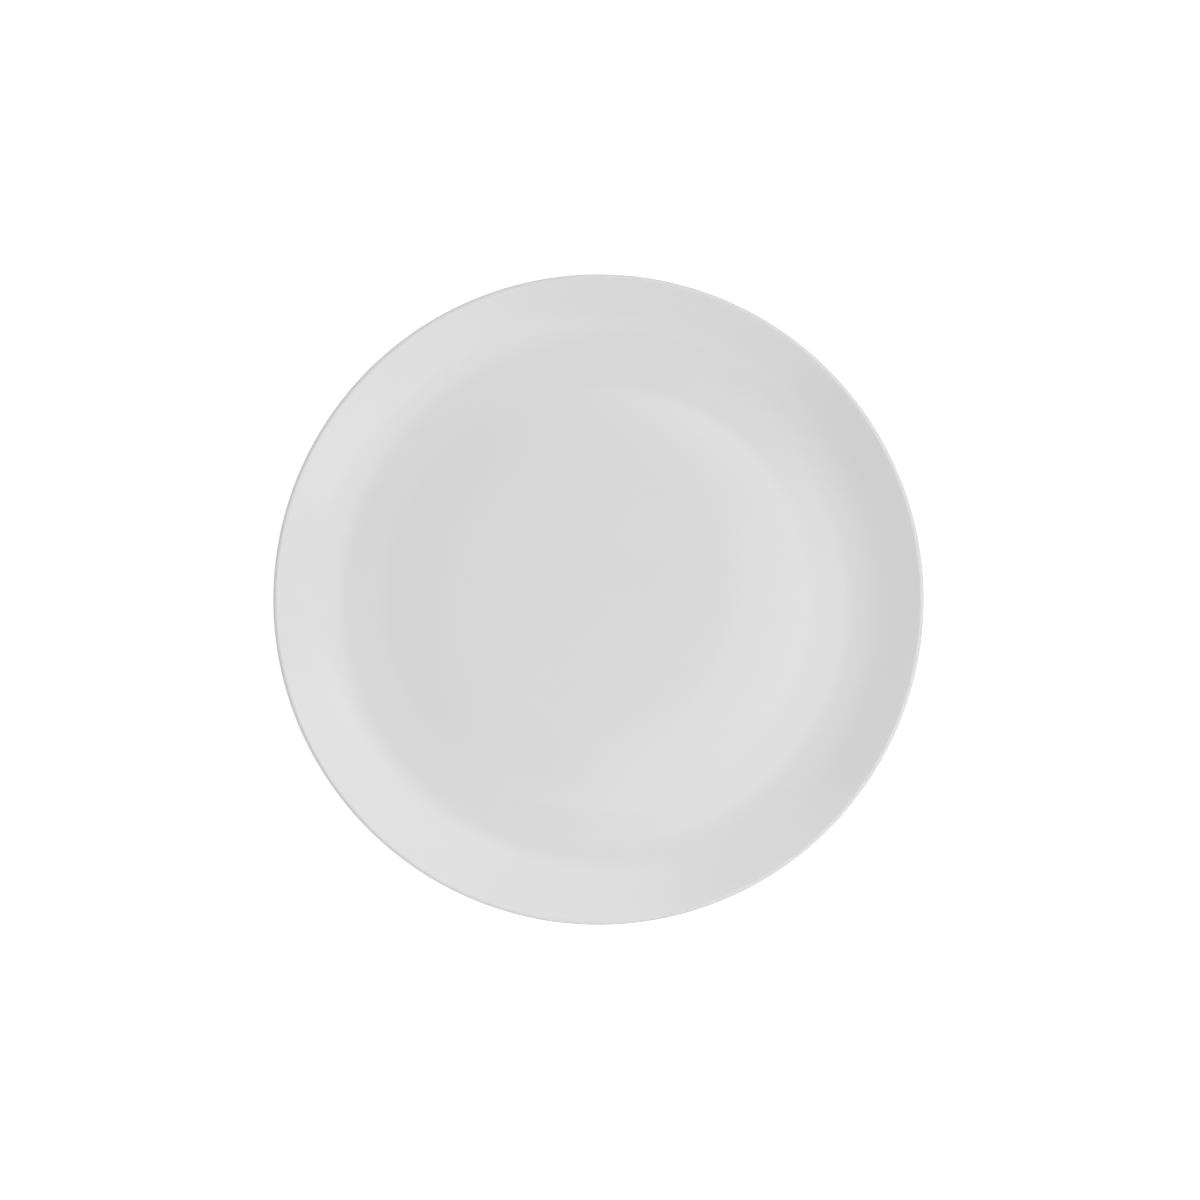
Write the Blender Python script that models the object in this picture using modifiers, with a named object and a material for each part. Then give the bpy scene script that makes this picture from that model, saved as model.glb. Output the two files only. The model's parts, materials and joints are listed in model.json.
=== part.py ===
"""Coupe dessert plate: a turned porcelain body on a foot ring, and the glaze fused over it.

Metres, +Z up. The origin is the centre of the circle that the foot ring stands on.
The plate is drawn once, as the half section of its finished outside, from the middle of the
face over the lip and the back to the middle of the underside. The glaze is the outer skin of
that section, and the body is what is left inside it.
"""

import math

import bpy

# The face in rings, each width measured inwards from the one before it, starting at the lip
PLATE_DIAMETER = 0.210
RIM_BAND_WIDTH = 0.0115     # straight outer part of the coupe wall
COUPE_CURVE_WIDTH = 0.0149  # the sweep from the trough up to the rim
TROUGH_WIDTH = 0.0093       # from the sweep in to the middle of the foot ring
DOME_WIDTH = 0.0287         # from the middle of the foot ring in to the flat centre
SHOULDER_WIDTH = 0.0117     # part of the dome that rounds down from the flat centre

# Slopes of the face
RIM_ANGLE = math.radians(24.0)
SHOULDER_ANGLE = math.radians(4.9)  # fall of the face at the outside of the shoulder
DOME_ANGLE = math.radians(8.6)      # fall of the face just inside the foot ring
TROUGH_ANGLE = math.radians(1.9)    # fall of the face outside the foot ring

# Thicknesses over the glaze
BASE_THICKNESS = 0.0048
LIP_THICKNESS = 0.0020

# Foot ring
FOOT_HEIGHT = 0.0042        # depth of the recess, just inside the ring
FOOT_WIDTH = 0.0038         # at ground level
FOOT_DRAFT = math.radians(12.0)
FOOT_EDGE_RADIUS = 0.0010
HEEL_RADIUS = 0.0015        # where the ring meets the back and the recess

# Glaze: a coat of even thickness, wiped off the foot below the glaze line
GLAZE_THICKNESS = 0.0003
GLAZE_BOND_GAP = 0.0001     # keeps the solids apart where the real ones are fused
GLAZE_LINE_HEIGHT = 0.0014

# Fineness of the turned surfaces
TURN_STEPS = 64
FACE_STEP_ANGLE = math.radians(5.0)
ROUND_STEP_ANGLE = math.radians(30.0)
FILLET_SHARE = 0.45         # most of a side that a fillet may take up

# Derived sizes
PLATE_RADIUS = PLATE_DIAMETER / 2
LIP_RADIUS = LIP_THICKNESS / 2
COUPE_RADIUS = PLATE_RADIUS - RIM_BAND_WIDTH - COUPE_CURVE_WIDTH
FOOT_RADIUS = COUPE_RADIUS - TROUGH_WIDTH
FLAT_RADIUS = FOOT_RADIUS - DOME_WIDTH
SKIN = GLAZE_THICKNESS + GLAZE_BOND_GAP


def face_rings():
    """Rings of the face as (radius, slope), centre to lip; the slope changes evenly between them."""
    lip_tangent = PLATE_RADIUS - LIP_RADIUS * (1 + math.sin(RIM_ANGLE))
    return [
        (0.0, 0.0),
        (FLAT_RADIUS, 0.0),
        (FLAT_RADIUS + SHOULDER_WIDTH, -SHOULDER_ANGLE),
        (FOOT_RADIUS - FOOT_WIDTH / 2, -DOME_ANGLE),
        (FOOT_RADIUS + FOOT_WIDTH / 2, -TROUGH_ANGLE),
        (COUPE_RADIUS, -TROUGH_ANGLE),
        (PLATE_RADIUS - RIM_BAND_WIDTH, RIM_ANGLE),
        (lip_tangent, RIM_ANGLE),
    ]


def face_curve():
    """Points of the face as (radius, height, slope), one base thickness above the foot's recess."""
    curve = [(0.0, 0.0, 0.0)]
    datum = 0.0
    rings = face_rings()
    for (inner, inner_slope), (outer, outer_slope) in zip(rings, rings[1:]):
        steps = max(1, math.ceil(abs(outer_slope - inner_slope) / FACE_STEP_ANGLE))
        for step in range(1, steps + 1):
            radius = inner + (outer - inner) * step / steps
            slope = inner_slope + (outer_slope - inner_slope) * step / steps
            last_radius, last_height, last_slope = curve[-1]
            grade = (math.tan(slope) + math.tan(last_slope)) / 2
            curve.append((radius, last_height + (radius - last_radius) * grade, slope))
        if outer < FOOT_RADIUS:
            datum = curve[-1][1]
    lift = FOOT_HEIGHT + BASE_THICKNESS - datum
    return [(radius, height + lift, slope) for radius, height, slope in curve]


def wall_thickness(radius):
    """The wall is even over the base and thins steadily from the start of the coupe to the lip."""
    share = (radius - COUPE_RADIUS) / (PLATE_RADIUS - LIP_RADIUS - COUPE_RADIUS)
    return BASE_THICKNESS + (LIP_THICKNESS - BASE_THICKNESS) * min(1.0, max(0.0, share))


def under(face_point):
    """The point of the underside that lies square below a point of the face."""
    radius, height, slope = face_point
    wall = wall_thickness(radius)
    return (radius + wall * math.sin(slope), height - wall * math.cos(slope))


def arc(centre, radius, start, turn):
    """Points on an arc, both ends included, from the start angle through the turn."""
    steps = max(1, math.ceil(abs(turn) / ROUND_STEP_ANGLE))
    angles = [start + turn * step / steps for step in range(steps + 1)]
    return [(centre[0] + radius * math.cos(a), centre[1] + radius * math.sin(a)) for a in angles]


def fillet(before, corner, after, radius):
    """Points that round a corner with an arc tangent to both its sides, no longer than they allow."""
    way_in = math.atan2(corner[1] - before[1], corner[0] - before[0])
    way_out = math.atan2(after[1] - corner[1], after[0] - corner[0])
    turn = math.remainder(way_out - way_in, 2 * math.pi)
    side = math.copysign(math.pi / 2, turn)
    room = FILLET_SHARE * min(math.dist(before, corner), math.dist(corner, after))
    setback = min(room, radius * math.tan(abs(turn) / 2))
    radius = setback / math.tan(abs(turn) / 2)
    start = (corner[0] - setback * math.cos(way_in), corner[1] - setback * math.sin(way_in))
    centre = (start[0] + radius * math.cos(way_in + side), start[1] + radius * math.sin(way_in + side))
    return arc(centre, radius, way_in - side, turn)


def lip_curve(face_end):
    """The round lip, tangent to the face, from the face over the edge to the back."""
    radius, height, slope = face_end
    centre = (radius + LIP_RADIUS * math.sin(slope), height - LIP_RADIUS * math.cos(slope))
    return arc(centre, LIP_RADIUS, slope + math.pi / 2, -math.pi)


def foot_side(height, side):
    """A point on the outer (side 1) or inner (side -1) wall of the foot ring, which tapers down."""
    half_width = FOOT_WIDTH / 2 + height * math.tan(FOOT_DRAFT)
    return (FOOT_RADIUS + side * half_width, height)


def section():
    """The finished half section in three runs: glazed outside, bare foot, glazed recess."""
    face = face_curve()
    back = [under(p) for p in reversed(face[:-1]) if p[0] > COUPE_RADIUS]
    base = [under(p) for p in reversed(face) if p[0] < FOOT_RADIUS - FOOT_WIDTH]
    outer_heel = foot_side(back[-1][1], 1)
    inner_heel = foot_side(FOOT_HEIGHT, -1)
    outer_line = foot_side(GLAZE_LINE_HEIGHT, 1)
    inner_line = foot_side(GLAZE_LINE_HEIGHT, -1)
    # The skin comes off the whole section to leave the body, so the foot is drawn a skin too
    # deep, and the bare clay ends at ground level.
    outer_edge = foot_side(-SKIN, 1)
    inner_edge = foot_side(-SKIN, -1)

    outside = [(radius, height) for radius, height, slope in face[:-1]]
    outside += lip_curve(face[-1]) + back
    outside += fillet(back[-1], outer_heel, outer_line, HEEL_RADIUS) + [outer_line]
    foot = fillet(outer_line, outer_edge, inner_edge, FOOT_EDGE_RADIUS)
    foot += fillet(outer_edge, inner_edge, inner_line, FOOT_EDGE_RADIUS)
    recess = [inner_line] + fillet(inner_line, inner_heel, base[0], HEEL_RADIUS) + base
    return outside, foot, recess


def inset(points, distance):
    """The same outline moved into the plate, with every side kept parallel to its own."""
    sides = []
    for here, there in zip(points, points[1:]):
        length = math.dist(here, there)
        sides.append(((there[1] - here[1]) / length, (here[0] - there[0]) / length))
    moved = []
    for point, a, b in zip(points, sides[:1] + sides, sides + sides[-1:]):
        reach = distance / (1 + a[0] * b[0] + a[1] * b[1])
        moved.append((point[0] + (a[0] + b[0]) * reach, point[1] + (a[1] + b[1]) * reach))
    return moved


def fired_finish(name, colour, roughness):
    """A plain ceramic finish."""
    material = bpy.data.materials.new(name)
    material.use_nodes = True
    shader = material.node_tree.nodes["Principled BSDF"]
    shader.inputs["Base Color"].default_value = (*colour, 1.0)
    shader.inputs["Roughness"].default_value = roughness
    shader.inputs["Metallic"].default_value = 0.0
    material.diffuse_color = (*colour, 1.0)
    return material


def turned(name, profile, material, collection, parent):
    """A half section, run down its outer side, turned about Z into one closed solid."""
    mesh = bpy.data.meshes.new(name)
    edges = [(i, i + 1) for i in range(len(profile) - 1)]
    mesh.from_pydata([(radius, 0.0, height) for radius, height in profile], edges, [])
    mesh.materials.append(material)
    piece = bpy.data.objects.new(name, mesh)
    collection.objects.link(piece)
    piece.parent = parent
    screw = piece.modifiers.new("turn", "SCREW")
    screw.axis = "Z"
    screw.angle = 2 * math.pi
    screw.steps = TURN_STEPS
    screw.render_steps = TURN_STEPS
    screw.use_merge_vertices = True
    screw.merge_threshold = 0.00001
    screw.use_smooth_shade = True
    return piece


for leftover in list(bpy.data.objects):
    bpy.data.objects.remove(leftover, do_unlink=True)

plate = bpy.data.collections.new("coupe_dessert_plate")
bpy.context.scene.collection.children.link(plate)
foot_centre = bpy.data.objects.new("foot_centre", None)
plate.objects.link(foot_centre)

outside, foot, recess = section()
biscuit = fired_finish("fired_biscuit", (0.72, 0.71, 0.68), 0.65)
glaze = fired_finish("clear_gloss_glaze", (0.70, 0.70, 0.70), 0.12)

turned("porcelain_body", inset(outside + foot + recess, SKIN), biscuit, plate, foot_centre)
turned("face_glaze", outside + inset(outside, GLAZE_THICKNESS)[::-1], glaze, plate, foot_centre)
turned("recess_glaze", inset(recess, GLAZE_THICKNESS)[::-1] + recess, glaze, plate, foot_centre)
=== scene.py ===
"""Coupe dessert plate: a turned and glazed porcelain plate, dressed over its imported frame.

Metres, +Z up. The origin is the centre of the circle that the foot ring stands on.
"""

import json
import math

import bpy
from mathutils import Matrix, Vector, noise


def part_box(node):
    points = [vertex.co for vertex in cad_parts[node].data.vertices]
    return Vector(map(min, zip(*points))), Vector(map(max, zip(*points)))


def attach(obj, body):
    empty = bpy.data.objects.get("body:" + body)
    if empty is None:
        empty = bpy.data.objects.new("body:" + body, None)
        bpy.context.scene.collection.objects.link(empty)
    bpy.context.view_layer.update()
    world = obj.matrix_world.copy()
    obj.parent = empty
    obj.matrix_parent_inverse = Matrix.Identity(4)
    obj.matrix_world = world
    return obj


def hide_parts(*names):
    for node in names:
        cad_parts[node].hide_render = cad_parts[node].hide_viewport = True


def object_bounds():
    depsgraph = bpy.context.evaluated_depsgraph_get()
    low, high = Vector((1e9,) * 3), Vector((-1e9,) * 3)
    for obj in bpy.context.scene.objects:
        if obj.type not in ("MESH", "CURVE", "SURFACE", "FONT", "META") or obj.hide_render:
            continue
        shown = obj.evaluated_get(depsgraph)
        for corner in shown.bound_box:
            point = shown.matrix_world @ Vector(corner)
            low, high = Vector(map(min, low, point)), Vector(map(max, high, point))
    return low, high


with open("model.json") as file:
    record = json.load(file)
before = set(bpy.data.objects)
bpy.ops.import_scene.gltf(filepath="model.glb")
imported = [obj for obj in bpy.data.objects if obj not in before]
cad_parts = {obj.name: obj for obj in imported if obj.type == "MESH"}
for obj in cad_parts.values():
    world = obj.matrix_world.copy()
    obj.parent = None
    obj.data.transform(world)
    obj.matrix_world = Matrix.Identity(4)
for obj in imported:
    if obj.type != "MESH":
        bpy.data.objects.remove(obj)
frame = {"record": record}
cad_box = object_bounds()

# The porcelain body is the plate itself. It is hard-paste porcelain, rolled to a template on a turning
# plaster mould, its foot ring trimmed while the clay was firm, then fired white and glassy. Glaze
# hides all of it but the standing edge of the foot, which was wiped clean for the kiln.

plate_radius = cad_box[1].x
mounts = {mount["name"]: mount for mount in frame["record"]["mounts"]}
centre_height = mounts["well_centre"]["pos_m"][2]
glaze_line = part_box("face_glaze")[0].z      # where the glaze stops on the foot

foot_radius = 0.0693                        # to the middle of the standing face
foot_width = 0.0038                         # at ground level
foot_draft = math.radians(12.0)
foot_height = 0.0042                        # depth of the recess, just inside the ring
foot_edge_radius = 0.0010
heel_radius = 0.0015                        # where the ring meets the back and the recess

base_thickness = 0.0048
lip_thickness = 0.0020
lip_radius = lip_thickness / 2
rim_slope = 24.0                            # degrees
lip_start = plate_radius - lip_radius * (1 + math.sin(math.radians(rim_slope)))
coupe_start = 0.0786
face_template = [                           # radius, and slope in degrees
    (0.0, 0.0),
    (0.0406, 0.0),                          # edge of the flat centre
    (0.0523, -4.9),                         # outside of the shoulder that rounds the centre down
    (foot_radius - foot_width / 2, -8.6),
    (foot_radius + foot_width / 2, -1.9),
    (coupe_start, -1.9),                    # end of the trough
    (0.0935, rim_slope),                    # top of the coupe's sweep
    (lip_start, rim_slope),
]
back_start = 0.0805                         # the back runs level from here in to the foot ring
recess_edge = foot_radius - foot_width      # the recess follows the face from here inwards

glaze_thickness = 0.0003
bond_gap = 0.0001                           # keeps the solids apart where the real ones are fused

face_step = 0.00125                         # spacing of the mesh along the face
round_step = math.radians(10.0)             # bend of each step round the lip, the fillets and the beads
turn_steps = 192                            # steps round the plate


def face_points():
    """The face as (radius, height, slope) from the centre out; the slope changes evenly between rings."""
    points = [(0.0, centre_height, 0.0)]
    for (inner, inner_slope), (outer, outer_slope) in zip(face_template, face_template[1:]):
        steps = math.ceil((outer - inner) / face_step)
        for step in range(1, steps + 1):
            radius = inner + (outer - inner) * step / steps
            slope = math.radians(inner_slope + (outer_slope - inner_slope) * step / steps)
            last_radius, last_height, last_slope = points[-1]
            grade = (math.tan(slope) + math.tan(last_slope)) / 2
            points.append((radius, last_height + (radius - last_radius) * grade, slope))
    return points


def under(face_point):
    """The point of the underside square below a point of the face; the wall thins towards the lip."""
    radius, height, slope = face_point
    share = (radius - coupe_start) / (plate_radius - lip_radius - coupe_start)
    wall = base_thickness + (lip_thickness - base_thickness) * min(1.0, max(0.0, share))
    return (radius + wall * math.sin(slope), height - wall * math.cos(slope))


def arc(centre, radius, start, turn):
    """Points on an arc, both ends included, from the start angle through the turn."""
    steps = math.ceil(abs(turn) / round_step)
    angles = [start + turn * step / steps for step in range(steps + 1)]
    return [(centre[0] + radius * math.cos(angle), centre[1] + radius * math.sin(angle))
            for angle in angles]


def fillet(before, corner, after, radius):
    """Points that round a corner with an arc tangent to both its sides."""
    way_in = math.atan2(corner[1] - before[1], corner[0] - before[0])
    way_out = math.atan2(after[1] - corner[1], after[0] - corner[0])
    turn = math.remainder(way_out - way_in, 2 * math.pi)
    side = math.copysign(math.pi / 2, turn)
    setback = radius * math.tan(abs(turn) / 2)
    start = (corner[0] - setback * math.cos(way_in), corner[1] - setback * math.sin(way_in))
    centre = (start[0] + radius * math.cos(way_in + side), start[1] + radius * math.sin(way_in + side))
    return arc(centre, radius, way_in - side, turn)


def foot_side(height, side):
    """A point on the outer (side 1) or inner (side -1) wall of the foot ring, which tapers down."""
    return (foot_radius + side * (foot_width / 2 + height * math.tan(foot_draft)), height)


def inset(points, distance):
    """The same outline moved into the plate, with every side kept parallel to its own."""
    ways_in = []        # square to each side
    for here, there in zip(points, points[1:]):
        length = math.dist(here, there)
        ways_in.append(((there[1] - here[1]) / length, (here[0] - there[0]) / length))
    moved = []
    for point, last, following in zip(points, ways_in[:1] + ways_in, ways_in + ways_in[-1:]):
        reach = distance / (1 + last[0] * following[0] + last[1] * following[1])
        moved.append((point[0] + (last[0] + following[0]) * reach,
                      point[1] + (last[1] + following[1]) * reach))
    return moved


def turned(name, outline):
    """A closed solid: an outline of (radius, height) points, from axis to axis, turned about the axis.
    Where a ring is a single point on the axis, its faces are triangles."""
    vertices = []
    rings = []
    for radius, height in outline:
        count = turn_steps if radius > 0 else 1
        rings.append([len(vertices) + step for step in range(count)])
        for step in range(count):
            angle = 2 * math.pi * step / count
            vertices.append((radius * math.cos(angle), radius * math.sin(angle), height))
    faces = []
    for here, there in zip(rings, rings[1:]):
        for step in range(turn_steps):
            following = step + 1
            corners = [here[step % len(here)], there[step % len(there)],
                       there[following % len(there)], here[following % len(here)]]
            faces.append(list(dict.fromkeys(corners)))
    mesh = bpy.data.meshes.new(name)
    mesh.from_pydata(vertices, [], faces)
    mesh.shade_smooth()
    piece = bpy.data.objects.new(name, mesh)
    bpy.context.scene.collection.objects.link(piece)
    return piece


# Half section of the finished plate, in three runs: glazed outside, bare foot, glazed recess. The bare
# clay ends at ground level, so the foot is drawn deeper by the skin that comes off to leave the body.
skin = glaze_thickness + bond_gap
face = face_points()
face_end_radius, face_end_height, face_end_slope = face[-1]
lip_centre = (face_end_radius + lip_radius * math.sin(face_end_slope),
              face_end_height - lip_radius * math.cos(face_end_slope))
back = [under(point) for point in reversed(face[:-1]) if point[0] > back_start]
ceiling = [under(point) for point in reversed(face) if point[0] < recess_edge]
outer_heel = foot_side(back[-1][1], 1)
inner_heel = foot_side(foot_height, -1)
outer_line = foot_side(glaze_line, 1)
inner_line = foot_side(glaze_line, -1)
outer_edge = foot_side(-skin, 1)
inner_edge = foot_side(-skin, -1)

outside = [(radius, height) for radius, height, slope in face[:-1]]
outside += arc(lip_centre, lip_radius, face_end_slope + math.pi / 2, -math.pi) + back
outside += fillet(back[-1], outer_heel, outer_line, heel_radius) + [outer_line]
foot = fillet(outer_line, outer_edge, inner_edge, foot_edge_radius)
foot += fillet(outer_edge, inner_edge, inner_line, foot_edge_radius)
recess = [inner_line] + fillet(inner_line, inner_heel, ceiling[0], heel_radius) + ceiling

porcelain_body = turned("plate_body", inset(outside + foot + recess, skin))


def linear(code):
    """An sRGB hex value as the linear colour that a shader takes."""
    shares = [int(code[place:place + 2], 16) / 255 for place in (1, 3, 5)]
    light = [share / 12.92 if share <= 0.04045 else ((share + 0.055) / 1.055) ** 2.4 for share in shares]
    return (*light, 1.0)


def add(tree, kind, inputs, **settings):
    """Adds a node with its settings; each input takes a value, or another node's output to link. An
    input goes by name, or by number where names repeat: a colour mix takes 6 and 7, and gives output 2."""
    node = tree.nodes.new(kind)
    for name, value in settings.items():
        setattr(node, name, value)
    for name, value in inputs.items():
        if isinstance(value, bpy.types.NodeSocket):
            tree.links.new(value, node.inputs[name])
        else:
            node.inputs[name].default_value = value
    return node


def bare_porcelain():
    """Fired porcelain without glaze: dry and matt to the eye, a warm white, with a fine sandy grain that
    was rubbed down on the standing edge and has taken up a little grey from shelves."""
    grain = 0.0005          # real grit is ten times finer, and wouldn't show
    grain_depth = 0.00004
    smudge = 0.0060
    worn_height = 0.0003    # above the ground
    worn_share = 0.6
    material = bpy.data.materials.new("bare_fired_porcelain")
    material.use_nodes = True
    tree = material.node_tree
    tree.nodes.clear()
    place = add(tree, "ShaderNodeTexCoord", {}).outputs["Object"]
    height = add(tree, "ShaderNodeSeparateXYZ", {0: place}).outputs["Z"]
    grit = add(tree, "ShaderNodeTexNoise", {"Vector": place, "Scale": 1 / grain, "Detail": 3.0})
    patches = add(tree, "ShaderNodeTexNoise", {"Vector": place, "Scale": 1 / smudge, "Detail": 2.0})
    standing = add(tree, "ShaderNodeMapRange", {
        "Value": height, "From Min": worn_height, "From Max": 0.0, "To Min": 0.0, "To Max": worn_share})
    wear = add(tree, "ShaderNodeMath", {0: standing.outputs[0], 1: patches.outputs[0]},
               operation="MULTIPLY")
    clay = add(tree, "ShaderNodeMix", {0: grit.outputs[0], 6: linear("#E2DEDA"), 7: linear("#D6D1CB")},
               data_type="RGBA")
    worn = add(tree, "ShaderNodeMix", {0: wear.outputs[0], 6: clay.outputs[2], 7: linear("#B8B2AC")},
               data_type="RGBA")
    bump = add(tree, "ShaderNodeBump", {
        "Height": grit.outputs[0], "Strength": 0.5, "Distance": grain_depth})
    shader = add(tree, "ShaderNodeBsdfPrincipled", {
        "Base Color": worn.outputs[2], "Roughness": 0.75, "IOR": 1.5, "Normal": bump.outputs[0]})
    add(tree, "ShaderNodeOutputMaterial", {"Surface": shader.outputs[0]})
    return material


porcelain_body.data.materials.append(bare_porcelain())
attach(porcelain_body, "root")
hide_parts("porcelain_body")

# The face glaze is the coat of clear feldspar glass over the eating face, the lip and the back, about
# a third of a millimetre thick. The plate was dipped, and the glaze melted and fused to the body; at
# the foot it was sponged off to a line, where it ends in a soft round bead.

fused_gap = 0.00002         # the coat lies against the body, with room for its line to wander
line_wander = 0.00012       # how far the sponged line strays up and down
line_reach = 0.0012         # height above the line over which the coat follows it
line_waves = 2.6            # about eight waves round the foot


def bead(start, end):
    """The round end of a coat, from one of its sides over to the other."""
    centre = ((start[0] + end[0]) / 2, (start[1] + end[1]) / 2)
    angle = math.atan2(start[1] - centre[1], start[0] - centre[0])
    return arc(centre, math.dist(start, end) / 2, angle, -math.pi)[1:-1]


def sponge_line(piece, seed):
    """Lets the lower edge of a coat wander, as a line wiped by hand does."""
    for vertex in piece.data.vertices:
        nearness = max(0.0, 1 - max(0.0, vertex.co.z - glaze_line) / line_reach)
        around = Vector((vertex.co.x, vertex.co.y, 0.0)).normalized() * line_waves
        vertex.co.z += line_wander * nearness * noise.noise(around + Vector((0.0, 0.0, seed)))


def glazed_porcelain(name, heel, turning_marks):
    """Clear glaze melted over white porcelain: a smooth, slightly soft gloss over a neutral white. The
    melt leaves a faint skin of ripples. It runs thin at the lip, where the warmer body comes through, and
    pools in the hollow at the heel of the foot, where it is a little greyer and cooler. The marks of a
    trimming tool show through it as rings, turning_marks times as deep as the ripples."""
    ripple = 0.0045
    ripple_depth = 0.000003
    cloud = 0.0300              # patches that are a little whiter and duller than the rest
    least_roughness = 0.17
    most_roughness = 0.23
    thin_width = 0.0012         # in from the edge of the lip
    thin_share = 0.5
    pool_reach = 0.0035         # out from the corner of the heel
    pool_share = 0.6
    mark_spacing = 0.0016
    wave_rate = 20.0            # the wave texture turns through so many radians per unit of length
    material = bpy.data.materials.new(name)
    material.use_nodes = True
    tree = material.node_tree
    tree.nodes.clear()
    place = add(tree, "ShaderNodeTexCoord", {}).outputs["Object"]
    flat = add(tree, "ShaderNodeVectorMath", {0: place, 1: (1.0, 1.0, 0.0)}, operation="MULTIPLY")
    out = add(tree, "ShaderNodeVectorMath", {0: flat.outputs[0]}, operation="LENGTH")
    height = add(tree, "ShaderNodeSeparateXYZ", {0: place}).outputs["Z"]
    in_section = add(tree, "ShaderNodeCombineXYZ", {"X": out.outputs["Value"], "Y": height})
    from_heel = add(tree, "ShaderNodeVectorMath", {0: in_section.outputs[0], 1: (*heel, 0.0)},
                    operation="DISTANCE")
    pool = add(tree, "ShaderNodeMapRange", {
        "Value": from_heel.outputs["Value"], "From Min": pool_reach, "From Max": 0.0,
        "To Min": 0.0, "To Max": pool_share}, interpolation_type="SMOOTHSTEP")
    thin = add(tree, "ShaderNodeMapRange", {
        "Value": out.outputs["Value"], "From Min": plate_radius - thin_width, "From Max": plate_radius,
        "To Min": 0.0, "To Max": thin_share})
    clouds = add(tree, "ShaderNodeTexNoise", {"Vector": place, "Scale": 1 / cloud, "Detail": 2.0})
    ripples = add(tree, "ShaderNodeTexNoise", {"Vector": place, "Scale": 1 / ripple, "Detail": 1.0})
    rings = add(tree, "ShaderNodeTexWave", {
        "Vector": place, "Scale": 2 * math.pi / (wave_rate * mark_spacing), "Distortion": 1.5,
        "Detail": 1.0}, wave_type="RINGS", rings_direction="Z")
    white = add(tree, "ShaderNodeMix", {0: clouds.outputs[0], 6: linear("#D9D9D9"), 7: linear("#DBDBDB")},
                data_type="RGBA")
    coat = add(tree, "ShaderNodeMix", {0: thin.outputs[0], 6: white.outputs[2], 7: linear("#DCDBD8")},
               data_type="RGBA")
    pooled = add(tree, "ShaderNodeMix", {0: pool.outputs[0], 6: coat.outputs[2], 7: linear("#CFD3D3")},
                 data_type="RGBA")
    gloss = add(tree, "ShaderNodeMapRange", {
        "Value": clouds.outputs[0], "To Min": least_roughness, "To Max": most_roughness})
    relief = add(tree, "ShaderNodeMath", {
        0: rings.outputs["Fac"], 1: turning_marks, 2: ripples.outputs["Fac"]}, operation="MULTIPLY_ADD")
    bump = add(tree, "ShaderNodeBump", {
        "Height": relief.outputs[0], "Strength": 1.0, "Distance": ripple_depth})
    shader = add(tree, "ShaderNodeBsdfPrincipled", {
        "Base Color": pooled.outputs[2], "Roughness": gloss.outputs[0], "IOR": 1.52,
        "Normal": bump.outputs[0]})
    add(tree, "ShaderNodeOutputMaterial", {"Surface": shader.outputs[0]})
    return material


inside = inset(outside, skin - fused_gap)
face_glaze = turned("face_and_back_glaze", outside + bead(outside[-1], inside[-1]) + inside[::-1])
sponge_line(face_glaze, seed=0.0)
smooth_glaze = glazed_porcelain("clear_glaze_on_porcelain", outer_heel, turning_marks=0.0)
face_glaze.data.materials.append(smooth_glaze)
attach(face_glaze, "root")
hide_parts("face_glaze")

# The recess glaze is the same glass inside the foot ring, from the same dip and fused on in the same
# fire. The bare foot cuts it off from the first coat. It lies over the marks of the tool that trimmed
# the recess, which show as faint rings.

inside = inset(recess, skin - fused_gap)
recess_glaze = turned("recess_glaze_coat", inside[::-1] + bead(inside[0], recess[0]) + recess)
sponge_line(recess_glaze, seed=7.0)
trimmed_glaze = glazed_porcelain("clear_glaze_on_trimmed_porcelain", inner_heel, turning_marks=2.0)
recess_glaze.data.materials.append(trimmed_glaze)
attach(recess_glaze, "root")
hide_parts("recess_glaze")

# The floor is a sheet of white background paper that the plate stands on. Camera, mirror and glass rays
# see it with a glow added, which makes it white; its own part stays lit, and keeps the plate's shadow.

floor_size = 8.0
paper_glow = 0.60           # keeps the paper white until it has lost nearly half of its light


def seen_directly(tree):
    """1 for rays from the camera and from mirrors and glass, 0 for those that light a surface."""
    path = add(tree, "ShaderNodeLightPath", {}).outputs
    shiny = add(tree, "ShaderNodeMath", {0: path["Is Glossy Ray"], 1: path["Is Transmission Ray"]},
                operation="MAXIMUM")
    either = add(tree, "ShaderNodeMath", {0: path["Is Camera Ray"], 1: shiny.outputs[0]},
                 operation="MAXIMUM")
    return either.outputs[0]


def background_paper():
    """Matt white paper off a roll: no gloss, and a barely uneven white."""
    unevenness = 0.15
    material = bpy.data.materials.new("white_background_paper")
    material.use_nodes = True
    tree = material.node_tree
    tree.nodes.clear()
    place = add(tree, "ShaderNodeTexCoord", {}).outputs["Object"]
    cloud = add(tree, "ShaderNodeTexNoise", {"Vector": place, "Scale": 1 / unevenness, "Detail": 2.0})
    white = add(tree, "ShaderNodeMix", {0: cloud.outputs[0], 6: linear("#E4E4E4"), 7: linear("#E8E8E8")},
                data_type="RGBA")
    glow = add(tree, "ShaderNodeMath", {0: seen_directly(tree), 1: paper_glow}, operation="MULTIPLY")
    shader = add(tree, "ShaderNodeBsdfPrincipled", {
        "Base Color": white.outputs[2], "Roughness": 1.0, "Specular IOR Level": 0.0,
        "Emission Color": (1.0, 1.0, 1.0, 1.0), "Emission Strength": glow.outputs[0]})
    add(tree, "ShaderNodeOutputMaterial", {"Surface": shader.outputs[0]})
    return material


bpy.ops.mesh.primitive_plane_add(size=floor_size)
floor = bpy.context.object
floor.name = "background_paper"
floor.data.materials.append(background_paper())

# The camera looks straight down on the plate through a long lens, with +X to the right of the picture.
# Its lens and its place put the plate's outline where the photograph has it.

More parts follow.
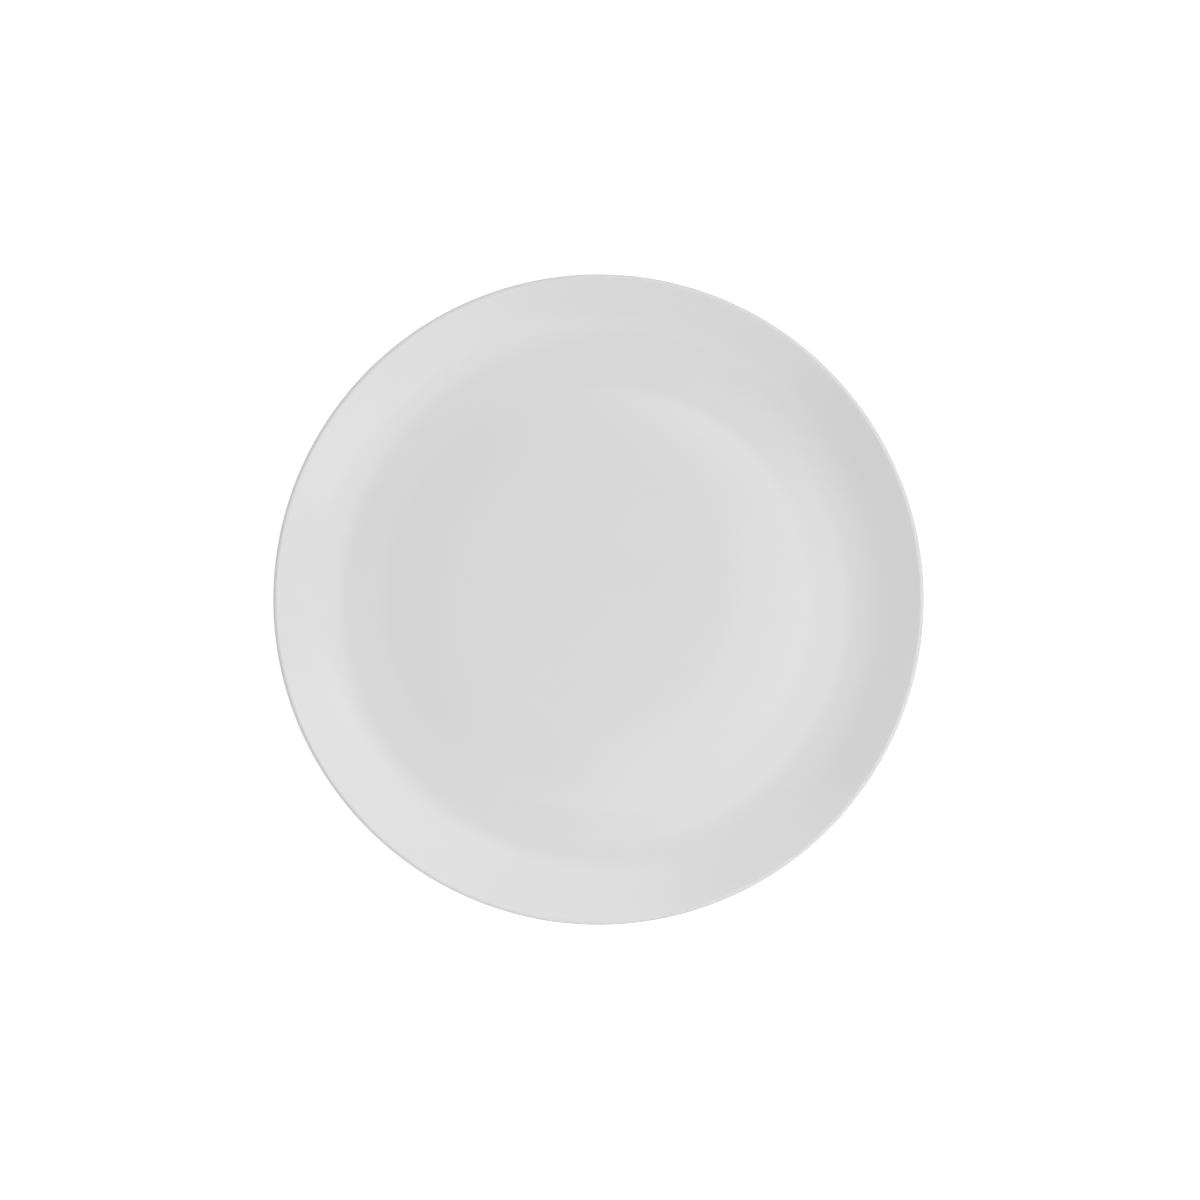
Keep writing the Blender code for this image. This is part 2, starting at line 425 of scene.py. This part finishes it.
photo_width = 1200.0                    # this and the next two are in pixels
photo_centre = (598.64, 599.58)         # of the plate's outline, from the top left corner
photo_radius = 325.35
camera_height = 3.0
lip_height = lip_centre[1]
pixel = plate_radius / photo_radius

camera_data = bpy.data.cameras.new("overhead_camera")
camera_data.lens = (camera_data.sensor_width * photo_radius / photo_width
                    * (camera_height - lip_height) / plate_radius)
camera = bpy.data.objects.new("overhead_camera", camera_data)
camera.location = ((photo_width / 2 - photo_centre[0]) * pixel,
                   (photo_centre[1] - photo_width / 2) * pixel, camera_height)
bpy.context.scene.collection.objects.link(camera)
bpy.context.scene.camera = camera

# The lamps are big cloth-fronted softboxes. The key is the furthest and largest, beyond the plate to the
# right; one more stands beyond it to the left, one at the near side and two at the near right. The room's
# pale walls give the rest. All are high enough for the flat centre not to mirror them to an eye low down.

room_light = 0.447


def softbox(name, bearing, lean, distance, diameter, radiance):
    """A round softbox aimed at the plate. Its bearing is in degrees from the right of the picture,
    anticlockwise, and its lean in degrees from overhead."""
    data = bpy.data.lights.new(name, "AREA")
    data.shape = "DISK"
    data.size = diameter
    front_area = math.pi * diameter ** 2 / 4
    data.energy = radiance * math.pi * front_area       # a front that glows evenly to all sides
    lamp = bpy.data.objects.new(name, data)
    turn = math.radians(bearing)
    tilt = math.radians(lean)
    way = Vector((math.sin(tilt) * math.cos(turn), math.sin(tilt) * math.sin(turn), math.cos(tilt)))
    lamp.location = way * distance
    lamp.rotation_euler = way.to_track_quat("Z", "Y").to_euler()
    lamp.visible_camera = False
    bpy.context.scene.collection.objects.link(lamp)


softbox("key_softbox", bearing=60.0, lean=45.0, distance=3.0, diameter=3.46, radiance=1.082)
softbox("far_softbox", bearing=120.0, lean=45.0, distance=1.6, diameter=0.80, radiance=0.594)
softbox("near_softbox", bearing=255.0, lean=40.0, distance=0.9, diameter=0.66, radiance=0.844)
softbox("near_right_softbox", bearing=315.0, lean=50.0, distance=1.6, diameter=1.16, radiance=0.714)
softbox("high_right_softbox", bearing=330.0, lean=35.0, distance=0.9, diameter=1.04, radiance=0.800)

world = bpy.data.worlds.new("pale_room")
world.use_nodes = True
bpy.context.scene.world = world
room = world.node_tree
room.nodes.clear()
strength = add(room, "ShaderNodeMath", {0: seen_directly(room), 1: 1.0 - room_light, 2: room_light},
               operation="MULTIPLY_ADD")
walls = add(room, "ShaderNodeBackground", {
    "Color": (1.0, 1.0, 1.0, 1.0), "Strength": strength.outputs[0]})
add(room, "ShaderNodeOutputWorld", {"Surface": walls.outputs[0]})

bpy.context.scene.view_settings.view_transform = "Standard"
